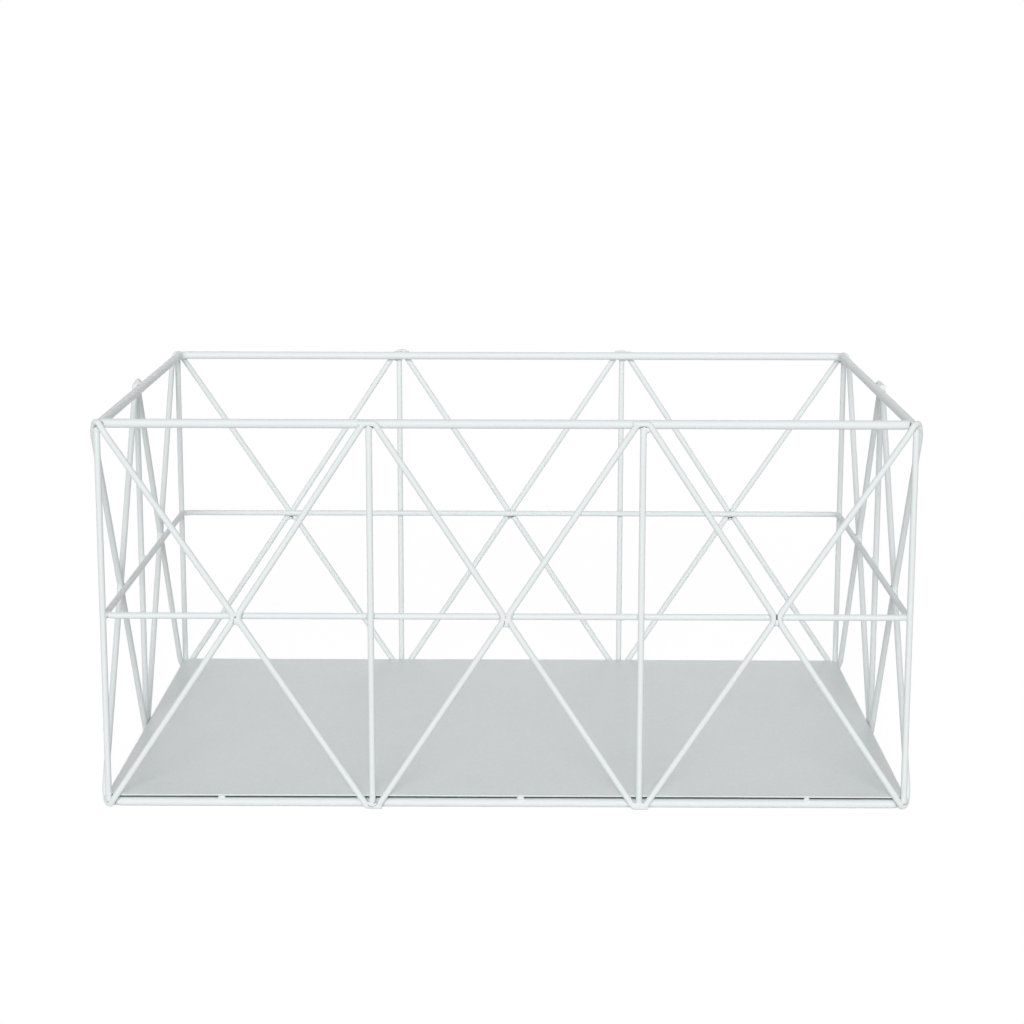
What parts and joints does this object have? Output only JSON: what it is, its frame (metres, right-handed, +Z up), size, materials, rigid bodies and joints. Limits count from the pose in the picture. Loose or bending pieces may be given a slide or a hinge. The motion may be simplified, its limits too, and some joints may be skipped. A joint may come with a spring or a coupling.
{
  "type": "rectangular wire basket",
  "caption": "Open-top rectangular storage basket of welded steel wire, with diamond-braced sides, a heavy rim and base ring and a flat sheet base.",
  "frame": {"origin": "on the ground, under the middle of the basket", "axes": "+X along the length, +Y from front to back, +Z up"},
  "size_m": [0.36, 0.2426, 0.174],
  "materials": {
    "wire_coat": "white semi-gloss powder coat over steel wire",
    "sheet_coat": "white semi-gloss powder coat over sheet steel"
  },
  "bodies": {
    "root": {"rim_wire": "wire_coat", "mid_rail": "wire_coat", "base_frame": "wire_coat", "base_plate": "sheet_coat", "front_1_upright": "wire_coat", "front_1_diamond": "wire_coat", "front_2_upright": "wire_coat", "front_2_diamond": "wire_coat", "front_right_corner_upright": "wire_coat", "front_right_corner_diamond": "wire_coat", "right_upright": "wire_coat", "right_diamond": "wire_coat", "back_right_corner_upright": "wire_coat", "back_right_corner_diamond": "wire_coat", "back_1_upright": "wire_coat", "back_1_diamond": "wire_coat", "back_2_upright": "wire_coat", "back_2_diamond": "wire_coat", "back_left_corner_upright": "wire_coat", "back_left_corner_diamond": "wire_coat", "left_upright": "wire_coat", "left_diamond": "wire_coat", "front_left_corner_upright": "wire_coat", "front_left_corner_diamond": "wire_coat"}
  },
  "joints": []
}
